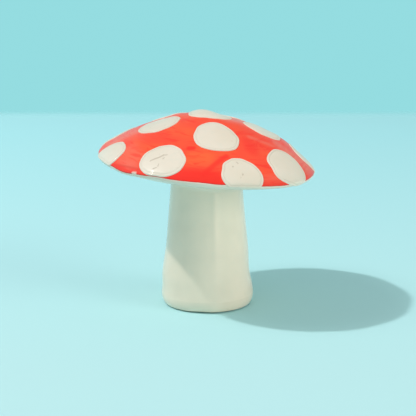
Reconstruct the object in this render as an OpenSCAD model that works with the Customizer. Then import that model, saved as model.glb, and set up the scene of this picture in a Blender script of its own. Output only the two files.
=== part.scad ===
// Ceramic mushroom ornament: a hollow domed cap luted on a hollow tapering stem,
// with thin clay spots on the cap. Millimetres, Z up, origin at the middle of the foot.

/* [Cap] */
// Diameter of the cap at its widest line
cap_d = 110; // [90:1:130]
// Height of the dome above the widest line
dome_h = 25.2; // [20:0.2:30]
// How full the flank of the dome is, 1 is a cone and 2 is round
flank_power = 1.6; // [1.4:0.05:2]
// How steeply the dome comes down at the rim, lower is steeper
rim_power = 0.78; // [0.66:0.02:0.9]
// Thickness of the dome's clay at the crown
dome_wall = 4.5; // [3:0.25:6]
// Width of the seam at the rim, where dome and underside are luted together
seam_w = 6; // [4.5:0.25:8]
// Radius of the rounded lip under the widest line
lip_r = 2; // [1:0.25:3]
// Drop from the widest line to the flat seat round the neck
underside_drop = 8; // [6:0.5:10]
// How strongly the underside curves, 1 is a straight cone
underside_power = 1.6; // [1.2:0.1:2]
// Thickness of the underside's clay
underside_wall = 4; // [3:0.25:5]
// Slant of the cap, down towards +X, in degrees
cap_tilt = 5; // [0:0.5:8]
// Diameter of the vent hole from the stem into the cap
cap_vent_d = 12; // [8:0.5:16]

/* [Stem] */
// Height of the cap's widest line above the table, on the stem's axis
cap_z = 73.8; // [60:0.2:90]
// Diameter of the stem at the neck
neck_d = 35.4; // [30:0.2:40]
// Diameter of the stem at its widest, on top of the base
foot_d = 47; // [43:0.5:54]
// Thickness of the stem's clay wall
stem_wall_t = 5; // [3.5:0.25:6.5]

/* [Base] */
// Thickness of the base disc that the stem stands on
base_t = 6; // [4:0.25:8]
// How far the base's lower edge is rounded in
foot_round = 1.4; // [1:0.1:4]
// Diameter of the kiln vent hole in the base
base_vent_d = 6; // [4:0.5:9]

/* [Neck coil] */
// Height of the coil down the stem
coil_h = 4; // [3:0.25:7]
// Reach of the coil out under the cap
coil_reach = 3; // [3:0.25:6]
// Thickness of the coil's smoothed lower edge
coil_edge = 0.4; // [0.3:0.1:1]
// Width of the flat seat under the cap beyond the coil, room for the slant
seat_margin = 1; // [0.5:0.25:3]

/* [Spots] */
// Thickness of the clay spots
spot_t = 0.8; // [0.6:0.1:1.4]
// Width of the eased edge round each spot
spot_ease = 0.7; // [0.3:0.1:1.2]
// Usual width of a spot, which each spot takes a share of
spot_d = 22; // [18:0.5:24]
// How far down the upper ring of spots sits, as a share of the way from crown to rim
upper_ring_share = 0.47; // [0.42:0.01:0.5]
// How far down the spots along the rim sit, as a share of the way from crown to rim
rim_ring_share = 0.86; // [0.84:0.01:0.88]

/* [Hidden] */

red_glaze = [0.95, 0.28, 0.18];
cream_glaze = [0.89, 0.87, 0.80];
bare_clay = [0.84, 0.80, 0.70];

cap_r = cap_d / 2;
neck_r = neck_d / 2;
foot_r = foot_d / 2;
seat_r = neck_r + coil_reach + seat_margin;
neck_z = cap_z - underside_drop * cos(cap_tilt);
beyond = 5;                            // how far a cutting shape runs past what it cuts

// Slope of the underside where it meets the lip, and the lip's last angle there
lip_slope = underside_power * (underside_drop - lip_r) / (cap_r - lip_r - seat_r);
lip_end = 90 - atan(lip_slope);
lip_in = [cap_r - lip_r + lip_r * cos(lip_end), -lip_r * sin(lip_end)];

dome_steps = 22;
lip_steps = 6;
spot_end = dome_steps + lip_steps / 3;    // spots lie on the dome and a third of the lip
under_steps = 8;

// Height of a dome of radius r and height h, at u from 0 on the axis to 1 at the rim
function dome_z(u, h) = h * pow(max(0, 1 - pow(u, flank_power)), rim_power);

// Dome outline from the crown to the rim, with points closer together at the rim
function dome_line(r, h) = [for (i = [0 : dome_steps])
    let (u = sin(90 * i / dome_steps)) [r * u, dome_z(u, h)]];

function lip_line() = [for (i = [1 : lip_steps])
    let (a = lip_end * i / lip_steps) [cap_r - lip_r + lip_r * cos(a), -lip_r * sin(a)]];

function under_line() = [for (i = [1 : under_steps])
    let (w = 1 - i / under_steps)
    [seat_r + (lip_in[0] - seat_r) * w,
     -underside_drop + (underside_drop + lip_in[1]) * pow(w, underside_power)]];

cap_line = concat(dome_line(cap_r, dome_h), lip_line(), under_line());

// Outward direction of an outline at point i, from its two neighbours
function out_dir(pts, i) =
    i == 0 ? [0, 1] :
    let (d = pts[min(i + 1, len(pts) - 1)] - pts[i - 1]) [-d[1], d[0]] / norm(d);

// Way travelled down the cap's skin from the crown to each point of its outline
function travels(pts, i = 0, sum = 0) = i == len(pts) - 1 ? [sum] :
    concat([sum], travels(pts, i + 1, sum + norm(pts[i + 1] - pts[i])));

way = travels(cap_line);
rim_way = way[dome_steps];
no_trim = 2;

// Radius and height of the skin by the way travelled, led straight on past the last of a spot
past = beyond * 1.4;
radius_by_way = concat([for (i = [0 : spot_end]) [way[i], cap_line[i][0]]],
    [[way[spot_end] + past, cap_line[spot_end][0] + beyond]]);
height_by_way = concat([for (i = [0 : spot_end]) [way[i], cap_line[i][1]]],
    [[way[spot_end] + past, cap_line[spot_end][1] - beyond]]);

// Outline of a skin of clay of thickness t, from the crown over the rim
function skin_outline(t) = concat(
    [for (i = [0 : spot_end]) cap_line[i] + t * out_dir(cap_line, i)],
    [for (i = [spot_end : -1 : 0]) cap_line[i]]);

// Radius of the stem's tapering side at height z
function stem_r(z) = foot_r + (neck_r - foot_r) * (z - base_t) / (neck_z - base_t);

// Places what is drawn round the cap's own axis
module in_cap() {
    translate([0, 0, cap_z]) rotate([0, cap_tilt, 0]) children();
}

module cap_dome() {
    inner_r = cap_r - seam_w;
    inner = dome_line(inner_r, dome_h - dome_wall);
    backwards = [for (i = [dome_steps : -1 : 0]) inner[i]];
    color(red_glaze) in_cap() rotate_extrude($fn = 96)
        polygon(concat(dome_line(cap_r, dome_h), backwards));
}

module cap_underside() {
    inner_r = cap_r - seam_w;
    floor_z = -underside_drop + underside_wall;
    color(cream_glaze) in_cap() rotate_extrude($fn = 96)
        polygon(concat([[inner_r, 0], [cap_r, 0]], lip_line(), under_line(),
            [[cap_vent_d / 2, -underside_drop], [cap_vent_d / 2, floor_z], [seat_r, floor_z]]));
}

// The stem's outer cone, tall enough to be cut off at the slant under the cap
module stem_cone() {
    top = neck_z + beyond;
    translate([0, 0, base_t]) cylinder(h = top - base_t, r1 = foot_r, r2 = stem_r(top), $fn = 96);
}

module stem_wall() {
    low = base_t - beyond;
    top = neck_z + 2 * beyond;
    color(cream_glaze) difference() {
        stem_cone();
        translate([0, 0, low])
            cylinder(h = top - low, r1 = stem_r(low) - stem_wall_t,
                r2 = stem_r(top) - stem_wall_t, $fn = 96);
        in_cap() translate([-cap_r, -cap_r, -underside_drop]) cube([cap_d, cap_d, 4 * beyond]);
    }
}

module stem_base() {
    steps = 8;
    edge = [for (i = [0 : steps])
        let (w = 1 - i / steps) [foot_r - foot_round * pow(w, 2.5), base_t * (1 - w)]];
    color(bare_clay) rotate_extrude($fn = 96)
        polygon(concat([[base_vent_d / 2, 0]], edge, [[base_vent_d / 2, base_t]]));
}

// A soft cove in the corner between the stem and the cap's flat seat
module neck_coil() {
    steps = 6;
    // the cove follows the cap's slant, and is moved over to stay round the upright stem
    shift = (underside_drop + coil_h) * tan(cap_tilt);
    inner_r = neck_r - stem_wall_t / 2;
    bottom = -underside_drop - coil_h;
    // its lower edge stands clear of the stem even on the side where it hangs lowest
    low_r = stem_r(neck_z - coil_h - neck_r * sin(cap_tilt)) + coil_edge;
    top_r = neck_r + coil_reach;
    cove = [for (i = [0 : steps])
        let (w = 1 - i / steps) [low_r + (top_r - low_r) * w * w, bottom + coil_h * w]];
    color(cream_glaze) difference() {
        in_cap() translate([shift, 0, 0]) rotate_extrude($fn = 96)
            polygon(concat([[inner_r, -underside_drop]], cove, [[inner_r, bottom]]));
        stem_cone();
    }
}

// Reach of a hand-cut spot at angle a, on a soft curve through those listed in shape
function reach(shape, a) =
    let (n = len(shape), s = a * n / 360, i = floor(s), t = s - i,
         p = shape[(i + n - 1) % n], q = shape[i], r = shape[(i + 1) % n], w = shape[(i + 2) % n])
    q + t / 2 * (r - p + t * (2 * p - 5 * q + 4 * r - w + t * (3 * (q - r) + w - p)));

// Where a spot's outline lies at angle a: the way down from its middle, and across.
// room is the way left to the line along the rim where the spot is trimmed
function spot_point(room, shape, a, inset) =
    let (full = reach(shape, a) * spot_d / 2,
         r = (cos(a) > 0.01 ? min(full, room / cos(a)) : full) - inset)
    [r * cos(a), r * sin(a)];

// A point of the outline on the plane that touches the skin at the spot's middle
function on_plane(down, slope, p) =
    let (r0 = lookup(down, radius_by_way), r1 = lookup(down + p[0], radius_by_way),
         z0 = lookup(down, height_by_way), z1 = lookup(down + p[0], height_by_way),
         turn = 2 * p[1] / (r0 + r1) * 180 / PI)
    down < spot_d / 2 ? p :
    [(r1 * cos(turn) - r0) * cos(slope) - (z1 - z0) * sin(slope), r1 * sin(turn)];

// One spot. az turns it round the cap. place and trim are shares of the way from crown
// to rim, for its middle and for the line along the rim where it is trimmed. shape lists
// its reach every 30 degrees, from straight down the slope, as shares of half a spot_d
module spot(az, place, trim, shape) {
    step = 0.01;
    down = place * rim_way;
    r0 = lookup(down, radius_by_way);
    u = r0 / cap_r;
    slope = atan((dome_z(u - step, dome_h) - dome_z(u + step, dome_h)) / (2 * step * cap_r));
    depth_in = spot_d * 0.4;
    // the lower layer has the full outline, and the upper one is set in, for an eased edge
    color(cream_glaze) in_cap() for (layer = [0, 1]) {
        t = layer == 0 ? spot_t / 2 : spot_t;
        outline = [for (a = [0 : 10 : 350])
            on_plane(down, slope, spot_point((trim - place) * rim_way, shape, a, layer * spot_ease))];
        intersection() {
            rotate_extrude($fn = 96) polygon(skin_outline(t));
            rotate([0, 0, az]) translate([r0, 0, dome_z(u, dome_h)])
                rotate([0, slope, 0]) translate([0, 0, -depth_in])
                linear_extrude(depth_in + 2 * spot_t) polygon(outline);
        }
    }
}

module spot_crown() {
    spot(-125, 0.03, no_trim,
        [1, 1, 1.05, 1, 1, 1, 1, 1.05, 1, 1, 1, 1]);
}

module spot_upper_left() {
    spot(-158, upper_ring_share, no_trim,
        [0.95, 0.95, 0.95, 0.95, 1, 1.05, 0.95, 0.85, 0.85, 0.95, 0.95, 0.95]);
}

module spot_upper_front() {
    spot(-82, upper_ring_share, no_trim,
        [1.2, 1.2, 1.05, 0.95, 1, 1.15, 1.15, 1.05, 1, 1.05, 1.1, 1.15]);
}

module spot_upper_right() {
    spot(-2, upper_ring_share, no_trim,
        [0.95, 1, 1, 1, 1, 1, 0.95, 0.9, 0.95, 1.05, 1.15, 0.95]);
}

module spot_upper_back_right() {
    spot(68, upper_ring_share - 0.02, no_trim,
        [1.05, 1, 0.95, 1, 1.05, 1, 1, 0.95, 1, 1, 0.95, 1]);
}

module spot_upper_back_left() {
    spot(133, upper_ring_share, no_trim,
        [1, 1.05, 1, 1.05, 0.95, 0.95, 0.95, 1, 1.05, 1, 0.95, 1]);
}

module spot_rim_left() {
    spot(-159, rim_ring_share + 0.04, 1.01,
        [0.9, 1, 1.15, 1.2, 0.9, 0.7, 0.6, 0.6, 0.7, 0.9, 1.25, 1]);
}

module spot_rim_front_left() {
    spot(-116, rim_ring_share - 0.02, no_trim,
        [0.95, 1, 1.05, 1.05, 1, 0.95, 0.9, 0.95, 0.95, 1, 1.05, 1]);
}

module spot_rim_front() {
    spot(-71, rim_ring_share + 0.02, 1,
        [1, 1.1, 1.1, 1, 0.85, 0.75, 0.7, 0.7, 0.75, 0.85, 1.1, 1.1]);
}

module spot_rim_front_right() {
    spot(-38, rim_ring_share, no_trim,
        [1, 1.1, 1.2, 1.05, 1.1, 1.1, 1, 0.95, 0.95, 1, 1.1, 1]);
}

module spot_rim_right() {
    spot(5, rim_ring_share + 0.02, no_trim,
        [0.95, 1, 1, 1.05, 1, 0.95, 0.95, 0.95, 1, 1, 0.95, 0.95]);
}

module spot_rim_back_right() {
    spot(46, rim_ring_share, no_trim,
        [1, 1.05, 1.05, 1.05, 1, 1, 0.95, 0.95, 1, 1.05, 1, 1]);
}

module spot_rim_back() {
    spot(86, rim_ring_share + 0.02, no_trim,
        [0.9, 0.95, 1, 1, 0.95, 0.95, 0.9, 0.95, 0.95, 1, 1, 0.95]);
}

module spot_rim_back_left() {
    spot(124, rim_ring_share, no_trim,
        [1, 1.05, 1, 0.95, 0.95, 1, 1, 1.05, 1, 0.95, 1, 1]);
}

module spot_rim_far_left() {
    spot(162, rim_ring_share + 0.01, no_trim,
        [0.95, 1, 1, 1, 0.95, 0.95, 0.95, 1, 1, 1, 0.95, 0.95]);
}

cap_dome();
cap_underside();
neck_coil();
stem_wall();
stem_base();
spot_crown();
spot_upper_left();
spot_upper_front();
spot_upper_right();
spot_upper_back_right();
spot_upper_back_left();
spot_rim_left();
spot_rim_front_left();
spot_rim_front();
spot_rim_front_right();
spot_rim_right();
spot_rim_back_right();
spot_rim_back();
spot_rim_back_left();
spot_rim_far_left();
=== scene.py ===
import math
import bpy
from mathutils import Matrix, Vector


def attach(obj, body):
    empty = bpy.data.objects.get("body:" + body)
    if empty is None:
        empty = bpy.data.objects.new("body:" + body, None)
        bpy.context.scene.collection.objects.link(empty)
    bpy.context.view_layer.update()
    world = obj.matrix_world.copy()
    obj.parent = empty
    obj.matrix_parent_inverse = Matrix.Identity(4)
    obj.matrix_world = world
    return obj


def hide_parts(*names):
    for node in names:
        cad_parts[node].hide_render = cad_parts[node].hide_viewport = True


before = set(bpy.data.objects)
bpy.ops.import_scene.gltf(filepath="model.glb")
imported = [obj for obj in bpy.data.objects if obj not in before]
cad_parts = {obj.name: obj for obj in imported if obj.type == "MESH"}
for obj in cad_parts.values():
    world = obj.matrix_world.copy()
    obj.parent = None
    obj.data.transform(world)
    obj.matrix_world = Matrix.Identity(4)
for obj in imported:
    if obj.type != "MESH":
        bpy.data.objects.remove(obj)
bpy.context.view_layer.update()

mm = 0.001
print("frame loaded:", len(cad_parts), "nodes")

# a long lens, fitted to the outline of cap and stem
camera = {
    "aim": (0.8 * mm, 0, 49.7 * mm),
    "distance": 718 * mm,
    "pitch": 13.2,          # degrees down
    "lens": 121.2,
    "sensor": 36,
}


def makeCamera(c):
    pitch = math.radians(c["pitch"])
    data = bpy.data.cameras.new("photoCamera")
    data.lens = c["lens"]
    data.sensor_width = c["sensor"]
    obj = bpy.data.objects.new("photoCamera", data)
    bpy.context.collection.objects.link(obj)
    aim = Vector(c["aim"])
    obj.location = aim + c["distance"] * Vector((0, -math.cos(pitch), math.sin(pitch)))
    obj.rotation_euler = (math.pi / 2 - pitch, 0, 0)
    bpy.context.scene.camera = obj


makeCamera(camera)
print("camera placed")


# one output of a node, so that shader maths reads as an expression
class Wire:
    def __init__(self, tree, socket=None):
        self.tree = tree
        self.socket = socket

    # adds one node: its kind, its settings first, then its sockets, and returns one output
    def node(self, kind, settings=None, inputs=None, output=0):
        made = self.tree.nodes.new("ShaderNode" + kind)
        for name, value in (settings or {}).items():
            setattr(made, name, value)
        for name, value in (inputs or {}).items():
            self.feed(self.pick(made.inputs, name), value)
        return Wire(self.tree, self.pick(made.outputs, output))

    def pick(self, sockets, name):
        if isinstance(name, int):
            return [s for s in sockets if s.enabled][name]
        return next(s for s in sockets if s.enabled and s.name == name)

    def feed(self, socket, value):
        if isinstance(value, Wire):
            self.tree.links.new(value.socket, socket)
        elif socket.type == "RGBA":
            socket.default_value = (*value, 1)
        else:
            socket.default_value = value

    def math(self, operation, *values):
        return self.node("Math", {"operation": operation}, dict(enumerate(values)))

    def vector(self, operation, a, b, output=0):
        return self.node("VectorMath", {"operation": operation}, {0: a, 1: b}, output)

    def axis(self, name):
        return self.node("SeparateXYZ", None, {0: self}, name)

    def __add__(self, other):
        return self.math("ADD", self, other)

    def __sub__(self, other):
        return self.math("SUBTRACT", self, other)

    def __rsub__(self, other):
        return self.math("SUBTRACT", other, self)

    def __mul__(self, other):
        return self.math("MULTIPLY", self, other)

    __radd__ = __add__
    __rmul__ = __mul__

    # 0 below low, 1 above high, smooth between
    def between(self, low, high):
        return self.node("MapRange", {"interpolation_type": "SMOOTHSTEP"},
                         {"Value": self, "From Min": low, "From Max": high})

    # colour a where the factor is 0, colour b where it is 1
    def blend(self, factor, a, b):
        return self.node("Mix", {"data_type": "RGBA"}, {"Factor": factor, "A": a, "B": b}, "Result")

    def mix(self, other, factor):
        return self.blend(factor, self, other)


def newMaterial(name):
    material = bpy.data.materials.new(name)
    material.use_nodes = True
    tree = material.node_tree
    return material, Wire(tree), tree.nodes["Principled BSDF"]


def setShader(wire, shader, values):
    for name, value in values.items():
        wire.feed(shader.inputs[name], value)


# the table and the backdrop behind it
studio = {
    "floorReach": 620 * mm,
    "floorFade": 40 * mm,           # its far edge melts into the backdrop
    "floorRoughness": 0.9,
    "floorShine": 0.2,
    "nearColour": (0.483, 0.768, 0.796),
    "farColour": (0.43, 0.832, 0.892),
    "nearAt": -110 * mm,
    "farAt": 490 * mm,
    "wallColour": (0.30, 0.72, 0.75),
    "ambientColour": (0.89, 1.0, 0.985),
    "ambientStrength": 0.51,
    "backdropEnds": (0.15, 0.58),   # sine of the height, seen from the object
    "backdropLean": 0.25,           # it reaches higher on the left than on the right
    "dimAbove": 0.8,
}
# the glaze mirrors only the key light
lamps = [
    {"name": "keyLight", "shape": "DISK", "size": (95 * mm, 95 * mm), "aim": (0, 0, 60 * mm),
     "place": (-1340 * mm, -150 * mm, 1930 * mm), "power": 25.7, "colour": (1.0, 0.955, 0.95),
     "mirrored": True},
    {"name": "fillLight", "shape": "RECTANGLE", "size": (500 * mm, 700 * mm), "aim": (0, 0, 40 * mm),
     "place": (900 * mm, -520 * mm, 300 * mm), "power": 5.0, "colour": (1.0, 0.95, 0.88),
     "mirrored": False},
    {"name": "sideLight", "shape": "RECTANGLE", "size": (400 * mm, 400 * mm), "aim": (0, 0, 50 * mm),
     "place": (-850 * mm, -140 * mm, 1250 * mm), "power": 3.2, "colour": (1.0, 0.98, 0.96),
     "mirrored": False},
]


def makeFloor(s):
    bpy.ops.object.select_all(action="DESELECT")
    bpy.ops.mesh.primitive_plane_add(size=2 * s["floorReach"])
    floor = bpy.context.object
    floor.name = "floor"
    material, wire, shader = newMaterial("floorPaint")
    depth = wire.node("TexCoord", output="Object").axis("Y")
    far = wire.node("MapRange", None, {"Value": depth, "From Min": s["nearAt"], "From Max": s["farAt"]})
    shown = 1 - depth.between(s["floorReach"] - s["floorFade"], s["floorReach"])
    setShader(wire, shader, {"Base Color": wire.blend(far, s["nearColour"], s["farColour"]),
                             "Roughness": s["floorRoughness"], "Alpha": shown,
                             "Specular IOR Level": s["floorShine"]})
    floor.data.materials.append(material)


# camera and glaze see the backdrop's colour, and the rest is lit by a plain ambient light
def makeBackdrop(s):
    world = bpy.data.worlds.new("studioWorld")
    world.use_nodes = True
    bpy.context.scene.world = world
    wire = Wire(world.node_tree)
    mirrored = wire.node("LightPath", output="Is Glossy Ray")
    seen = wire.math("MAXIMUM", wire.node("LightPath", output="Is Camera Ray"), mirrored)
    # the backdrop ends above: what the glaze mirrors from higher up is dim
    direction = wire.node("TexCoord", output="Generated")
    aloft = direction.axis("Z") + direction.axis("X") * s["backdropLean"]
    strength = s["ambientStrength"] + seen * (1 - s["ambientStrength"])
    strength = strength - mirrored * aloft.between(*s["backdropEnds"]) * s["dimAbove"]
    back = world.node_tree.nodes["Background"]
    wire.feed(back.inputs["Color"], wire.blend(seen, s["ambientColour"], s["wallColour"]))
    wire.feed(back.inputs["Strength"], strength)


def makeLamp(lamp):
    data = bpy.data.lights.new(lamp["name"], "AREA")
    data.energy = lamp["power"]
    data.color = lamp["colour"]
    data.shape = lamp["shape"]
    data.size, data.size_y = lamp["size"]
    obj = bpy.data.objects.new(lamp["name"], data)
    bpy.context.collection.objects.link(obj)
    obj.location = lamp["place"]
    towards = Vector(lamp["aim"]) - Vector(lamp["place"])
    obj.rotation_euler = towards.to_track_quat("-Z", "Y").to_euler()
    obj.visible_glossy = lamp["mirrored"]


makeFloor(studio)
makeBackdrop(studio)
for lamp in lamps:
    makeLamp(lamp)
bpy.context.scene.view_settings.view_transform = "Standard"
print("studio lit")

# the cap's shape, as in the solids, in mm and degrees; it is built round its own upright axis
cap = {
    "radius": 55,
    "domeHeight": 25.2,
    "flankPower": 1.6,
    "rimPower": 0.78,
    "domeWall": 4.5,
    "seam": 6,
    "lip": 2,
    "rimLand": 1,
    "drop": 8,
    "undersidePower": 1.6,
    "undersideWall": 4,
    "seatRadius": 21.7,
    "vent": 6,
    "centreHeight": 73.8,
    "tilt": 5,
    "turns": 192,
    "steps": {"dome": 72, "innerDome": 24, "lip": 16, "underside": 20},
}


def domeRise(share, height):
    return height * max(0, 1 - share ** cap["flankPower"]) ** cap["rimPower"]


def domeLine(radius, height, steps):
    shares = [math.sin(math.pi / 2 * i / steps) for i in range(steps + 1)]
    return [(radius * s, domeRise(s, height)) for s in shares]


# where the rounded lip runs on into the underside without a kink
def lipEnd():
    c = cap
    slope = c["undersidePower"] * (c["drop"] - c["lip"]) / (c["radius"] - c["lip"] - c["seatRadius"])
    return math.pi / 2 - math.atan(slope)


def lipPoint(angle):
    lip = cap["lip"]
    return cap["radius"] - lip + lip * math.cos(angle), -lip * math.sin(angle)


def lipLine(steps):
    return [lipPoint(lipEnd() * i / steps) for i in range(1, steps + 1)]


def undersideLine(steps):
    c = cap
    startRadius, startHeight = lipPoint(lipEnd())
    shares = [1 - i / steps for i in range(1, steps + 1)]
    return [(c["seatRadius"] + (startRadius - c["seatRadius"]) * w,
             -c["drop"] + (c["drop"] + startHeight) * w ** c["undersidePower"]) for w in shares]


# the cap's skin from crown to underside, with the distance travelled at each point; its
# direction is taken over a few steps each way, so that it turns softly
skin = {"domeSteps": 200, "lipSteps": 24, "span": 3}
skinLine = domeLine(cap["radius"], cap["domeHeight"], skin["domeSteps"]) + lipLine(skin["lipSteps"])
skinTravel = [0.0]
for here, there in zip(skinLine, skinLine[1:]):
    skinTravel.append(skinTravel[-1] + math.dist(here, there))


# point of the skin at a travel from the crown, and its outward direction
def skinPoint(travel):
    travel = min(max(travel, 0.0), skinTravel[-1] - 1e-6)
    i = next(n for n in range(len(skinTravel) - 1) if skinTravel[n + 1] > travel)
    share = (travel - skinTravel[i]) / (skinTravel[i + 1] - skinTravel[i])
    point = Vector(skinLine[i]).lerp(Vector(skinLine[i + 1]), share)
    if i < skin["span"]:
        return point, Vector((0, 1))
    low, high = i - skin["span"], min(i + 1 + skin["span"], len(skinLine) - 1)
    along = Vector(skinLine[high]) - Vector(skinLine[low])
    return point, Vector((-along.y, along.x)).normalized()


mergeWithin = 0.002 * mm


# a round piece: its outline is extruded point by point and then spun
def spun(name, outline, turns, closed):
    bpy.ops.object.select_all(action="DESELECT")
    bpy.ops.mesh.primitive_plane_add(size=mm)
    obj = bpy.context.object
    obj.name = obj.data.name = name
    bpy.ops.object.mode_set(mode="EDIT")
    bpy.ops.mesh.select_all(action="SELECT")
    bpy.ops.mesh.merge(type="CENTER")
    r, z = outline[0]
    bpy.ops.transform.translate(value=(r * mm, 0, z * mm))
    for (r0, z0), (r1, z1) in zip(outline, outline[1:]):
        bpy.ops.mesh.extrude_region_move(
            TRANSFORM_OT_translate={"value": ((r1 - r0) * mm, 0, (z1 - z0) * mm)})
    if closed:
        bpy.ops.object.mode_set(mode="OBJECT")
        for vertex in obj.data.vertices:
            vertex.select = vertex.index in (0, len(outline) - 1)
        bpy.ops.object.mode_set(mode="EDIT")
        bpy.ops.mesh.edge_face_add()
    bpy.ops.mesh.select_all(action="SELECT")
    bpy.ops.mesh.spin(steps=turns, angle=2 * math.pi, center=(0, 0, 0), axis=(0, 0, 1))
    bpy.ops.mesh.select_all(action="SELECT")
    bpy.ops.mesh.remove_doubles(threshold=mergeWithin)
    bpy.ops.mesh.normals_make_consistent(inside=False)
    bpy.ops.object.mode_set(mode="OBJECT")
    return obj


def selectOnly(obj):
    bpy.ops.object.select_all(action="DESELECT")
    obj.select_set(True)
    bpy.context.view_layer.objects.active = obj


def smooth(obj, degrees=40):
    selectOnly(obj)
    bpy.ops.object.shade_smooth_by_angle(angle=math.radians(degrees))


def applyAll(obj):
    selectOnly(obj)
    for modifier in list(obj.modifiers):
        bpy.ops.object.modifier_apply(modifier=modifier.name)
    bpy.ops.object.transform_apply(location=True, rotation=True, scale=True)


def finished(obj, node, material):
    obj.data.materials.clear()
    obj.data.materials.append(material)
    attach(obj, "root")
    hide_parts(node)
    return obj


# what the potter's hands left, in the cap's own frame
unevenness = {
    # soft pushes in mm: x, y, half width, half length, lift
    "pushes": [(-54, 5, 8, 16, 0.8), (-25, 5, 9, 18, -0.3), (-17, 5, 6, 14, 0.5), (-5, 4, 7, 16, 0.9),
               (8, 4, 9, 18, -1.0), (17, 5, 8, 16, -0.4), (38, 6, 9, 16, 0.8), (48, 3, 7, 14, -0.7),
               (0, -52, 60, 40, 0.3), (-41, -38, 10, 10, -0.6), (-24, -50, 10, 10, 0.5)],
    "latticePoints": 41,
    "latticeSide": 120,
    "latticeHeight": 40,
    "latticeMiddle": 10,
    "cloudSize": 24 * mm,
    "cloudStrength": 0.4 * mm,
}


def capLattice(u):
    bpy.ops.object.select_all(action="DESELECT")
    bpy.ops.object.add(type="LATTICE", location=(0, 0, u["latticeMiddle"] * mm))
    lattice = bpy.context.object
    lattice.name = "handPushes"
    data = lattice.data
    data.points_u = data.points_v = u["latticePoints"]
    data.interpolation_type_u = data.interpolation_type_v = "KEY_CATMULL_ROM"
    lattice.scale = (u["latticeSide"] * mm, u["latticeSide"] * mm, u["latticeHeight"] * mm)
    for point in data.points:
        x, y = u["latticeSide"] * point.co.x, u["latticeSide"] * point.co.y
        lift = 0
        for px, py, width, length, amount in u["pushes"]:
            away = min(1, math.hypot((x - px) / width, (y - py) / length))
            lift += amount * (1 - away * away) ** 2
        point.co_deform.z += lift / u["latticeHeight"]
    return lattice


pushes = capLattice(unevenness)
softClouds = bpy.data.textures.new("softClouds", "CLOUDS")
softClouds.noise_scale = unevenness["cloudSize"]
softClouds.noise_depth = 1


# keeps each point's height against the cap's widest line, before the cap is pushed out of true
def keepGlazeHeight(obj):
    heights = [v.co.z / mm for v in obj.data.vertices]
    layer = obj.data.attributes.new("glazeHeight", "FLOAT", "POINT")
    layer.data.foreach_set("value", heights)


def handMade(obj):
    bend = obj.modifiers.new("pushes", "LATTICE")
    bend.object = pushes
    wave = obj.modifiers.new("clouds", "DISPLACE")
    wave.texture = softClouds
    wave.texture_coords = "LOCAL"
    wave.direction = "Z"
    wave.strength = unevenness["cloudStrength"]
    applyAll(obj)


# tips a piece made round the cap's own axis into its place on the stem
def intoPlace(obj, degrees=40):
    obj.rotation_euler = (0, math.radians(cap["tilt"]), 0)
    obj.location = (0, 0, cap["centreHeight"] * mm)
    applyAll(obj)
    smooth(obj, degrees)


# The glazes. A noise's scale is per mm. A pair such as orangeFrom gives the values of the noise
# between which a colour comes in, and a share says how strongly.
redPaint = {
    "body": (1.0, 0.083, 0.042),
    "deep": (0.97, 0.034, 0.024),
    "orange": (1.0, 0.14, 0.045),
    # pale red: painted sheen on the flanks, and glaze running thinner near the rim
    "thin": (0.93, 0.19, 0.13),
    "pool": (0.45, 0.012, 0.012),
    "broad": {"scale": (0.045, 0.045, 0.10), "detail": 1.0, "distortion": 0.3},
    "orangeFrom": (0.45, 0.7),
    "orangeShare": 0.55,
    "brushed": {"scale": (0.07, 0.07, 0.6), "detail": 3.0, "distortion": 1.2},
    "brushedFrom": (0.48, 0.72),
    "brushedShare": 0.6,
    # the line where the red stops, in mm against the cap's widest line
    "lineHeight": -0.1,
    "lineWaves": 4.0,       # round the cap
    "lineWave": 0.45,
    "lineWander": 0.5,
    "wander": {"scale": (0.09, 0.09, 0.0), "detail": 3.0},
    "lineSoft": 0.08,
    "lineStep": (-0.1, 0.5),
    # how the glaze thickens towards the line: from and up to where above it, and the share
    "deepAtLine": (0.3, 4.0, 0.7),
    "poolAtLine": (0.1, 0.55, 0.6),
    # brush marks, and pale patches of painted sheen, in the cap's own frame: from, to, half width in
    # mm, colour, how strongly
    "marks": [((-7.5, -43.5, 9.7), (-1, -43.3, 10.3), 4.5, "orange", 0.8),
              ((-17, -51.5, 1.5), (4.5, -53, 2.5), 3.5, "deep", 0.9),
              ((-1.2, -51.5, 4.1), (8.7, -40.4, 11.5), 1.3, "deep", 0.7),
              ((-9.5, -37.2, 13.3), (-7.5, -37.2, 13.3), 1.3, "deep", 0.9),
              ((21, -31, 13.7), (19, -25, 16.5), 3.5, "deep", 0.5),
              # the patches in the pale colour mostly paint the sheen of the bright backdrop on the
              # flanks, with some thinner glaze near the rim
              ((20, -20, 18.1), (35, -17.5, 12.4), 1.6, "thin", 0.5),
              ((-39.3, -26.3, 7.5), (-35.7, -35.5, 5.2), 4.5, "thin", 0.5),
              ((-43, -31, 2.6), (-35, -41, 2.6), 1.8, "thin", 0.4),
              ((-46, -30, 0.6), (-31.5, -43.7, 1.6), 0.5, "pool", 0.3),
              ((36, -13, 13), (50, -17, 3), 4.0, "thin", 0.75),
              ((25, -48, 1.3), (38, -38.5, 1.4), 2.5, "thin", 0.4),
              ((-49, -8, 5), (-30, -6, 17), 4.0, "thin", 0.55)],
    "missed": ((-35.8, -42.4, -0.2), (-34.4, -43.4, 0.1), 0.75),   # a speck the brush missed
    "brushedRelief": 0.5,
    "bump": 0.3,
    "bumpDepth": 0.25 * mm,
    "roughness": 0.35,
    "roughnessSpread": 0.15,
    "shine": 0.1,
    "coat": 0.38,
    "coatRoughness": 0.05,
}
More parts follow.
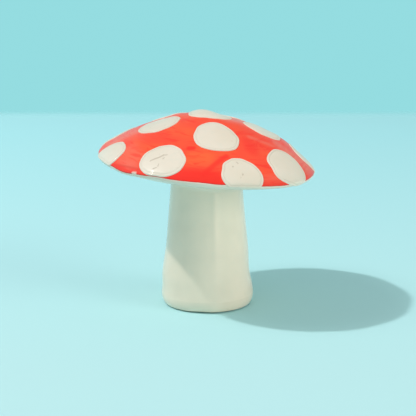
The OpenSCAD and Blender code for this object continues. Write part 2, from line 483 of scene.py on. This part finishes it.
creamPaint = {
    "warm": (0.75, 0.64, 0.50),
    "cool": (0.72, 0.70, 0.60),
    "broad": {"scale": (0.05, 0.05, 0.05), "detail": 2.0},
    "warmFrom": (0.4, 0.7),
    "warmShare": 0.4,
    "fine": {"scale": (0.35, 0.35, 0.35), "detail": 3.0},
    "coolFrom": (0.45, 0.75),
    "fineRelief": 0.5,
    "bumpDepth": 0.2 * mm,
    "roughness": 0.35,
    "roughnessSpread": 0.15,
    "shine": 0.4,
    "coatRoughness": 0.08,
}
stemFinish = {"name": "creamGlaze", "body": (0.885, 0.745, 0.59), "coolShare": 0.1, "bump": 0.3,
              "coat": 0.9}
spotFinish = {
    "name": "spotGlaze",
    "body": (0.815, 0.72, 0.61),
    "coolShare": 0.3,
    "bump": 0.6,
    "coat": 0.25,
    # the faint line left inside each spot's edge, and how it comes and goes
    "seam": (0.62, 0.55, 0.44),
    "seamIn": 1.7,
    "seamWander": 0.8,
    "seamWidth": (0.1, 0.4),
    "seamShare": 0.2,
    "seamMoreFrom": (0.35, 0.6),
    "seamMore": 0.3,
    "crack": (0.44, 0.35, 0.25),
    "crackShare": 0.5,
    "crackDepth": 1.5,
    "crackWobble": (0.9, 0.8, 1.1),
    "wobble": {"scale": (0.5, 0.5, 0.5), "detail": 2.0},
    "pitScale": 0.22,
    "pitSize": (0.04, 0.09),
    "pitShare": 0.6,
    # drying cracks in the cap's own frame, mm: from, to, half width
    "cracks": [((-27.4, -41.6, 6.4), (-24.9, -41.1, 7.7), 0.32),
               ((-24.9, -41.1, 7.7), (-23.0, -40.9, 8.6), 0.45),
               ((-23.0, -40.9, 8.6), (-21.4, -40.3, 9.4), 0.4),
               ((-21.4, -40.3, 9.4), (-19.7, -40.6, 9.8), 0.28),
               ((-23.3, -45.0, 5.5), (-23.5, -46.0, 4.7), 0.26),
               ((-24.3, -46.5, 4.0), (-25.6, -46.5, 3.6), 0.3),
               ((-21.6, -42.5, 7.9), (-20.9, -42.0, 8.4), 0.26),
               ((16.9, -48.8, 4.5), (17.2, -48.4, 4.9), 0.35),
               ((16.2, -50.1, 3.6), (16.1, -50.8, 2.6), 0.22),
               ((12.0, -46.4, 7.7), (12.1, -46.2, 7.9), 0.30),
               ((13.8, -43.4, 9.4), (14.5, -43.8, 8.9), 0.28)],
}
# the foot: bare clay where it stands, glazed from just above. Its noises are per metre.
footClay = {
    "dark": (0.55, 0.47, 0.34),
    "light": (0.68, 0.60, 0.46),
    "grain": {"scale": (700, 700, 700), "detail": 4.0},
    "broad": {"scale": (50, 50, 50), "detail": 2.0},
    "glazedFrom": (0.1, 0.4),   # mm above the table
    "bump": 0.3,
    "bumpDepth": 0.1 * mm,
    "roughness": 0.85,
    "smoother": 0.45,       # where it is glazed
}


# the cap's own frame in millimetres
def capPlace(wire):
    place = wire.node("TexCoord", output="Object")
    return wire.node("Mapping", {"vector_type": "TEXTURE"},
                     {"Vector": place, "Location": (0, 0, cap["centreHeight"] * mm),
                      "Rotation": (0, math.radians(cap["tilt"]), 0), "Scale": (mm, mm, mm)})


def noise(wire, place, scale, detail, distortion=0.0):
    stretch = wire.node("Mapping", None, {"Vector": place, "Scale": scale})
    return wire.node("TexNoise", None, {"Vector": stretch, "Scale": 1.0, "Detail": detail,
                                        "Distortion": distortion})


# height counts less in a stroke, as the clay is pushed up and down; its edge is soft between
# two shares of its half width
strokes = {"flat": (1, 1, 0.35), "full": 0.3, "gone": 1.6}


# 1 inside a thin stroke between two points, 0 outside
def stroke(wire, place, start, end, halfWidth):
    flat = Vector(strokes["flat"])
    start, end = Vector(start) * flat, Vector(end) * flat
    along = end - start
    away = wire.vector("SUBTRACT", wire.vector("MULTIPLY", place, flat), start)
    travel = wire.vector("DOT_PRODUCT", away, along, "Value")
    share = wire.node("Math", {"operation": "MULTIPLY", "use_clamp": True},
                      {0: travel, 1: 1 / along.length_squared})
    gap = wire.vector("DISTANCE", away, wire.vector("SCALE", along, share), "Value")
    return 1 - gap.between(strokes["full"] * halfWidth, strokes["gone"] * halfWidth)


def redGlaze():
    p = redPaint
    material, wire, shader = newMaterial("redGlaze")
    place = capPlace(wire)
    height = wire.node("Attribute", {"attribute_name": "glazeHeight"}, output="Fac")
    around = wire.math("ARCTAN2", place.axis("Y"), place.axis("X"))
    wave = wire.math("COSINE", around * p["lineWaves"]) * p["lineWave"]
    wander = (noise(wire, place, **p["wander"]) - 0.5) * (2 * p["lineWander"])
    line = height - wave - wander - p["lineHeight"]

    brushed = noise(wire, place, **p["brushed"])
    broad = noise(wire, place, **p["broad"])
    colour = wire.blend(broad.between(*p["orangeFrom"]) * p["orangeShare"], p["body"], p["orange"])
    # brush marks, and the painted sheen on the flanks
    for start, end, halfWidth, paint, amount in p["marks"]:
        colour = colour.mix(p[paint], stroke(wire, place, start, end, halfWidth) * amount)
    colour = colour.mix(p["deep"], brushed.between(*p["brushedFrom"]) * p["brushedShare"])
    for paint in ("deep", "pool"):
        low, high, share = p[paint + "AtLine"]
        colour = colour.mix(p[paint], (1 - line.between(low, high)) * share)
    bare = wire.math("MAXIMUM", 1 - line.between(-p["lineSoft"], p["lineSoft"]),
                     stroke(wire, place, *p["missed"]))
    relief = brushed * p["brushedRelief"] + line.between(*p["lineStep"])
    setShader(wire, shader, {
        "Base Color": colour.mix(spotFinish["body"], bare),
        "Roughness": brushed * p["roughnessSpread"] + p["roughness"],
        "Normal": wire.node("Bump", None, {"Strength": p["bump"], "Distance": p["bumpDepth"],
                                           "Height": relief}),
        "Specular IOR Level": p["shine"],
        "Coat Weight": p["coat"],
        "Coat Roughness": p["coatRoughness"]})
    return material


# 1 in the cracks and pits of the spots
def cracked(wire, place, f):
    wobble = noise(wire, place, **f["wobble"]) - 0.5
    near = wire.vector("SUBTRACT", place, wire.vector("SCALE", f["crackWobble"], wobble))
    pits = wire.node("TexVoronoi", None, {"Vector": place, "Scale": f["pitScale"]}, "Distance")
    opened = (1 - pits.between(*f["pitSize"])) * f["pitShare"]
    for start, end, halfWidth in f["cracks"]:
        opened = wire.math("MAXIMUM", opened, stroke(wire, near, start, end, halfWidth))
    return opened


# the pale glaze, f says how it is finished
def creamGlaze(f):
    p = creamPaint
    material, wire, shader = newMaterial(f["name"])
    place = capPlace(wire)
    broad = noise(wire, place, **p["broad"])
    fine = noise(wire, place, **p["fine"])
    colour = wire.blend(broad.between(*p["warmFrom"]) * p["warmShare"], f["body"], p["warm"])
    colour = colour.mix(p["cool"], fine.between(*p["coolFrom"]) * f["coolShare"])
    relief = fine * p["fineRelief"] + broad
    if "seam" in f:
        inFromEdge = wire.node("Attribute", {"attribute_name": "inFromEdge"}, output="Fac")
        aside = wire.math("ABSOLUTE", inFromEdge + fine * f["seamWander"] - f["seamIn"])
        shown = broad.between(*f["seamMoreFrom"]) * f["seamMore"] + f["seamShare"]
        colour = colour.mix(f["seam"], (1 - aside.between(*f["seamWidth"])) * shown)
    if "cracks" in f:
        opened = cracked(wire, place, f)
        colour = colour.mix(f["crack"], opened * f["crackShare"])
        relief = relief - opened * f["crackDepth"]
    setShader(wire, shader, {
        "Base Color": colour,
        "Roughness": fine * p["roughnessSpread"] + p["roughness"],
        "Normal": wire.node("Bump", None, {"Strength": f["bump"], "Distance": p["bumpDepth"],
                                           "Height": relief}),
        "Specular IOR Level": p["shine"],
        "Coat Weight": f["coat"],
        "Coat Roughness": p["coatRoughness"]})
    return material


def bareClay():
    c, p = footClay, creamPaint
    material, wire, shader = newMaterial("bareClay")
    place = wire.node("TexCoord", output="Object")
    grain = noise(wire, place, **c["grain"])
    broad = noise(wire, place, **c["broad"])
    glazed = (place.axis("Z") * (1 / mm)).between(*c["glazedFrom"])
    clay = wire.blend(grain, c["dark"], c["light"])
    glaze = wire.blend(broad.between(*p["warmFrom"]) * p["warmShare"], stemFinish["body"], p["warm"])
    relief = grain * (1 - glazed) + broad
    setShader(wire, shader, {
        "Base Color": clay.mix(glaze, glazed),
        "Roughness": c["roughness"] - glazed * c["smoother"],
        "Normal": wire.node("Bump", None, {"Strength": c["bump"], "Distance": c["bumpDepth"],
                                           "Height": relief}),
        "Specular IOR Level": p["shine"],
        "Coat Weight": glazed * stemFinish["coat"],
        "Coat Roughness": p["coatRoughness"]})
    return material


redMaterial = redGlaze()
creamMaterial = creamGlaze(stemFinish)
spotMaterial = creamGlaze(spotFinish)
clayMaterial = bareClay()
print("glazes mixed")


def makeDome(c):
    steps = c["steps"]
    inner = domeLine(c["radius"] - c["seam"], c["domeHeight"] - c["domeWall"], steps["innerDome"])
    outline = domeLine(c["radius"], c["domeHeight"], steps["dome"]) + inner[::-1]
    dome = spun("capDome", outline, c["turns"], False)
    keepGlazeHeight(dome)
    handMade(dome)
    intoPlace(dome)
    return finished(dome, "cap_dome", redMaterial)


def makeUnderside(c):
    steps = c["steps"]
    inside = -c["drop"] + c["undersideWall"]
    outline = [(c["radius"] - c["seam"], 0), (c["radius"] - c["rimLand"], 0), (c["radius"], 0)]
    outline += lipLine(steps["lip"]) + undersideLine(steps["underside"])
    outline += [(c["vent"], -c["drop"]), (c["vent"], inside), (c["seatRadius"], inside)]
    underside = spun("capUnderside", outline, c["turns"], True)
    keepGlazeHeight(underside)
    handMade(underside)
    intoPlace(underside)
    return finished(underside, "cap_underside", redMaterial)


makeDome(cap)
makeUnderside(cap)
print("cap thrown")

# thin discs of pale clay, in mm
spotClay = {
    "rise": 0.5,
    "ease": 0.9,
    "groove": 0.18,         # faint line pressed in just inside the edge
    "grooveIn": 1.3,
    "grooveWide": 0.4,
    "sunk": 0.4,
    "wobble": (5, 0.12),    # times round the spot, and how far
    "ripple": (9, 0.08),
    "flatWithin": 8,        # near the crown the disc lies flat, further down it wraps round the axis
    "leastRound": 4.0,
    "smoothUnder": 60,      # degrees
    "sides": 96,
    "rings": (0.01, 0.013, 0.014, 0.014, 0.018, 0.018, 0.018, 0.018, 0.018, 0.023, 0.036,
              0.07, 0.11, 0.12, 0.13, 0.13, 0.13),
}
# turn: degrees round the cap, 0 is +X and -90 faces the camera
# down: travel in mm from the crown to the spot's middle
# shape: reach in mm of the outline every 30 degrees, from straight down the slope and then
# anticlockwise, as seen from above
# end: travel in mm at which the spot is trimmed along the rim
spots = [
    {"name": "spotCrown", "node": "spot_crown", "turn": -125, "down": 1,
     "shape": [9.5, 8.5, 9, 10, 11, 12, 11, 11, 11, 11, 11, 10.5]},
    {"name": "spotUpperLeft", "node": "spot_upper_left", "turn": -160, "down": 28,
     "shape": [10.5, 9.5, 9.5, 9, 9.5, 10.5, 11.5, 11, 10.5, 10.5, 11, 11]},
    {"name": "spotUpperFront", "node": "spot_upper_front", "turn": -83, "down": 27.5,
     "shape": [13, 13.5, 12, 10.5, 10.5, 11.5, 13, 12.5, 11.5, 11, 12, 13.5]},
    {"name": "spotUpperRight", "node": "spot_upper_right", "turn": -2, "down": 28.5,
     "shape": [9.5, 10.5, 11, 11, 11, 11, 11.5, 11.5, 10.5, 9.5, 8.5, 8.5]},
    {"name": "spotUpperBackRight", "node": "spot_upper_back_right", "turn": 68, "down": 28,
     "shape": [11.5, 11, 10.5, 11, 11.5, 11, 11, 10.5, 11, 11, 10.5, 11]},
    {"name": "spotUpperBackLeft", "node": "spot_upper_back_left", "turn": 133, "down": 29.5,
     "shape": [11, 11.5, 11, 11.5, 10.5, 10.5, 10.5, 11, 11.5, 11, 10.5, 11]},
    {"name": "spotRimLeft", "node": "spot_rim_left", "turn": -159, "down": 55.5, "end": 62.5,
     "shape": [10, 11, 11.5, 11, 9.5, 8, 7.5, 7.5, 8, 9.5, 13, 11]},
    {"name": "spotRimFrontLeft", "node": "spot_rim_front_left", "turn": -117, "down": 51,
     "shape": [11, 11.5, 12, 11.5, 10.5, 10.5, 10.5, 10.5, 10.5, 11.5, 12, 11.5]},
    {"name": "spotRimFront", "node": "spot_rim_front", "turn": -71, "down": 53.5, "end": 63,
     "shape": [11, 12, 12, 10, 8.5, 8, 8, 8.5, 9, 9.5, 11.5, 11.5]},
    {"name": "spotRimFrontRight", "node": "spot_rim_front_right", "turn": -37, "down": 52, "end": 64,
     "shape": [12, 13, 13, 12.5, 13, 12.5, 11, 10.5, 11, 11, 12.5, 11.5]},
    {"name": "spotRimRight", "node": "spot_rim_right", "turn": 5, "down": 54.5, "end": 63,
     "shape": [10.5, 11, 11, 11.5, 11, 10.5, 10.5, 10.5, 11, 11, 10.5, 10.5]},
    {"name": "spotRimBackRight", "node": "spot_rim_back_right", "turn": 46, "down": 53, "end": 63,
     "shape": [11, 11.5, 11.5, 11.5, 11, 11, 10.5, 10.5, 11, 11.5, 11, 11]},
    {"name": "spotRimBack", "node": "spot_rim_back", "turn": 86, "down": 54.5, "end": 63,
     "shape": [10, 10.5, 11, 11, 10.5, 10.5, 10, 10.5, 10.5, 11, 11, 10.5]},
    {"name": "spotRimBackLeft", "node": "spot_rim_back_left", "turn": 124, "down": 53, "end": 63,
     "shape": [11, 11.5, 11, 10.5, 10.5, 11, 11, 11.5, 11, 10.5, 11, 11]},
    {"name": "spotRimFarLeft", "node": "spot_rim_far_left", "turn": 162, "down": 54, "end": 63,
     "shape": [10.5, 11, 11, 11, 10.5, 10.5, 10.5, 11, 11, 11, 10.5, 10.5]},
]


# smooth closed curve through reaches given at equal turns, a little uneven as cut clay is
def reachAt(shape, angle, clay):
    step = 2 * math.pi / len(shape)
    place = (angle % (2 * math.pi)) / step
    i = int(place)
    t = place - i
    a, b, c, d = (shape[(i + n) % len(shape)] for n in (-1, 0, 1, 2))
    (waves, far), (ripples, short) = clay["wobble"], clay["ripple"]
    uneven = far * math.sin(waves * angle + shape[0]) + short * math.sin(ripples * angle + 2 * shape[3])
    return uneven + b + 0.5 * t * (c - a + t * (2 * a - 5 * b + 4 * c - d + t * (3 * (b - c) + d - a)))


# lays a flat disc of clay on the cap: its x runs down the slope and its y round the cap
def layOnCap(obj, spot, clay):
    middle = spot["down"]
    edge = obj.data.attributes.new("inFromEdge", "FLOAT", "POINT")
    for vertex in obj.data.vertices:
        x, y, z = vertex.co
        share, angle = min(1.0, math.hypot(x, y)), math.atan2(y, x)
        reach = reachAt(spot["shape"], angle, clay)
        if "end" in spot and math.cos(angle) > 0.01:    # only its lower half is trimmed
            reach = min(reach, (spot["end"] - middle) / math.cos(angle))
        downhill, across = share * reach * math.cos(angle), share * reach * math.sin(angle)
        inFromEdge = (1 - share) * reach
        edge.data[vertex.index].value = inFromEdge
        eased = min(1.0, inFromEdge / clay["ease"])
        lift = clay["rise"] * math.sqrt(1 - (1 - eased) ** 2)
        lift -= clay["groove"] * math.exp(-((inFromEdge - clay["grooveIn"]) / clay["grooveWide"]) ** 2)
        if z < 0.5:         # the disc's lower face
            lift = -clay["sunk"]
        if middle < clay["flatWithin"]:
            travel, turn = math.hypot(middle + downhill, across), math.atan2(across, middle + downhill)
        else:
            travel = middle + downhill
            around = 0.5 * (skinPoint(middle)[0].x + skinPoint(travel)[0].x)
            turn = across / max(clay["leastRound"], around)
        point, out = skinPoint(travel)
        point = point + out * lift
        turn += math.radians(spot["turn"])
        vertex.co = (point.x * math.cos(turn) * mm, point.x * math.sin(turn) * mm, point.y * mm)


def makeSpot(spot, clay):
    bpy.ops.object.select_all(action="DESELECT")
    bpy.ops.mesh.primitive_circle_add(vertices=clay["sides"], radius=1, fill_type="NGON")
    obj = bpy.context.object
    obj.name = obj.data.name = spot["name"]
    bpy.ops.object.mode_set(mode="EDIT")
    bpy.ops.mesh.select_all(action="SELECT")
    bpy.ops.mesh.extrude_region_move(TRANSFORM_OT_translate={"value": (0, 0, 1)})
    for width in clay["rings"]:
        bpy.ops.mesh.inset(thickness=width, depth=0)
    bpy.ops.mesh.poke()
    bpy.ops.mesh.select_all(action="SELECT")
    bpy.ops.mesh.normals_make_consistent(inside=False)
    bpy.ops.object.mode_set(mode="OBJECT")
    layOnCap(obj, spot, clay)
    handMade(obj)
    intoPlace(obj, clay["smoothUnder"])
    return finished(obj, spot["node"], spotMaterial)


for spot in spots:
    makeSpot(spot, spotClay)
print("spots laid on:", len(spots))

# a slab rolled into a tapering tube, in mm and degrees round the stem
stem = {
    "neckRadius": 18.05,
    "footRadius": 23.7,
    "waist": 0.25,
    "wall": 5,
    "top": 68.5,
    "turns": 128,
    "wallSteps": 40,
    "innerEvery": 5,        # the inside needs fewer steps
    "sway": [(0, 0.55), (8, 0.5), (17, -0.25), (31, 0.3), (50, 0.12), (80, 0.1)],   # height, shift
    "shapedDeep": 9,        # what is further in than this from the foot's radius keeps its shape
    # seam ridge of the slab, full at one height and fading down to a third
    "ridge": {"turn": -78, "wide": 8, "rise": 0.3, "fullAt": 50, "least": 0.33},
    # both sides of the ridge are beaten flatter, more and more between two heights
    "flatRight": {"wide": 50, "depth": 5, "low": 4, "high": 44},
    "flatLeft": {"wide": 42, "depth": 3, "low": 34, "high": 64},
    # the foot is pressed in at one place, up to a height
    "pressed": {"turn": -100, "wide": 15, "depth": 0.8, "high": 8},
}
# the disc that closes it; it is turned back a little where it stands, which leaves a thin
# dark line on the table
foot = {
    "height": 6,
    "round": 1.4,
    "roundPower": 2.5,
    "edgeSteps": 20,
    "standGap": 0.55,
    "tuck": 0.6,
    "standIn": 2.4,
    "vent": 3,
}
# roll of clay pressed into the corner under the cap
coil = {"height": 4, "reach": 3, "edge": 0.4, "inset": 1, "steps": 12}


def neckHeight():
    return cap["centreHeight"] - cap["drop"] * math.cos(math.radians(cap["tilt"]))


def stemRadius(height):
    share = (height - foot["height"]) / (neckHeight() - foot["height"])
    waist = stem["waist"] * math.sin(math.pi * min(1, max(0, share)))
    return stem["footRadius"] + (stem["neckRadius"] - stem["footRadius"]) * share - waist


def swayAt(height):
    points = stem["sway"]
    i = next(n for n in range(len(points) - 1) if height <= points[n + 1][0])
    (low, first), (high, second) = points[i], points[i + 1]
    t = (height - low) / (high - low)
    return first + (second - first) * t * t * (3 - 2 * t)


# degrees from one direction round the stem to another, the short way
def turnFrom(middle, turn):
    return (math.degrees(turn) - middle + 180) % 360 - 180


# raises the seam where the slab's edges meet, flattens the sides next to it and sways the stem
def shapeByHand(obj, s):
    ridge, pressed = s["ridge"], s["pressed"]
    for vertex in obj.data.vertices:
        x, y, z = vertex.co / mm
        turn, radius = math.atan2(y, x), math.hypot(x, y)
        if radius > s["footRadius"] - s["shapedDeep"]:
            off = turnFrom(ridge["turn"], turn)
            flat = s["flatRight"] if off > 0 else s["flatLeft"]
            fade = min(1.0, max(0.0, (z - flat["low"]) / (flat["high"] - flat["low"])))
            share = min(1.0, abs(off) / flat["wide"])
            radius -= fade * flat["depth"] * share * (1 - share) ** 2
            rise = ridge["rise"] * min(1.0, max(ridge["least"], z / ridge["fullAt"]))
            radius += rise * max(0.0, 1 - abs(off) / ridge["wide"])
            off = turnFrom(pressed["turn"], turn)
            sidewards = max(0.0, 1 - (off / pressed["wide"]) ** 2)
            radius -= pressed["depth"] * sidewards * max(0.0, 1 - z / pressed["high"]) ** 1.5
        vertex.co.x = (radius * math.cos(turn) + swayAt(max(0, z))) * mm
        vertex.co.y = radius * math.sin(turn) * mm


# the wall is cut off at a slant under the cap
def makeStemWall(s):
    steps = s["wallSteps"]
    heights = [foot["height"] + (s["top"] - foot["height"]) * i / steps for i in range(steps + 1)]
    outline = [(stemRadius(h), h) for h in heights]
    outline += [(stemRadius(h) - s["wall"], h) for h in reversed(heights[::s["innerEvery"]])]
    wall = spun("stemWall", outline, s["turns"], True)
    tilt = math.radians(cap["tilt"])
    across = Vector((math.sin(tilt), 0, math.cos(tilt)))
    bpy.ops.object.mode_set(mode="EDIT")
    bpy.ops.mesh.select_all(action="SELECT")
    bpy.ops.mesh.bisect(plane_co=Vector((0, 0, cap["centreHeight"] * mm)) - across * cap["drop"] * mm,
                        plane_no=across, use_fill=True, clear_outer=True)
    bpy.ops.object.mode_set(mode="OBJECT")
    shapeByHand(wall, s)
    smooth(wall)
    return finished(wall, "stem_wall", creamMaterial)


def makeStemBase(s, f):
    edge = []
    for i in range(f["edgeSteps"] + 1):
        w = 1 - i / f["edgeSteps"]
        edge.append((s["footRadius"] - f["round"] * w ** f["roundPower"],
                     f["standGap"] + (f["height"] - f["standGap"]) * (1 - w)))
    edge[0] = (s["footRadius"] - f["round"] - f["tuck"], f["standGap"])
    standing = s["footRadius"] - f["round"] - f["standIn"]
    outline = [(f["vent"], 0), (standing, 0), (standing, f["standGap"])] + edge
    outline += [(f["vent"], f["height"])]
    base = spun("stemBase", outline, s["turns"], True)
    shapeByHand(base, s)
    smooth(base)
    return finished(base, "stem_base", clayMaterial)


def makeNeckCoil(s, c):
    top, inner = -cap["drop"], s["neckRadius"] - c["inset"]
    cove = []
    for i in range(c["steps"] + 1):
        w = 1 - i / c["steps"]
        cove.append((s["neckRadius"] + c["edge"] + (c["reach"] - c["edge"]) * w * w,
                     top - c["height"] * (1 - w)))
    outline = [(inner, top)] + cove + [(inner, top - c["height"])]
    ring = spun("neckCoil", outline, s["turns"], True)
    shift = (cap["drop"] + c["height"]) * math.tan(math.radians(cap["tilt"]))
    ring.location = (shift * mm, 0, 0)
    applyAll(ring)
    intoPlace(ring)
    return finished(ring, "neck_coil", creamMaterial)


makeStemWall(stem)
makeStemBase(stem, foot)
makeNeckCoil(stem, coil)
print("stem built")

bpy.data.objects.remove(pushes)
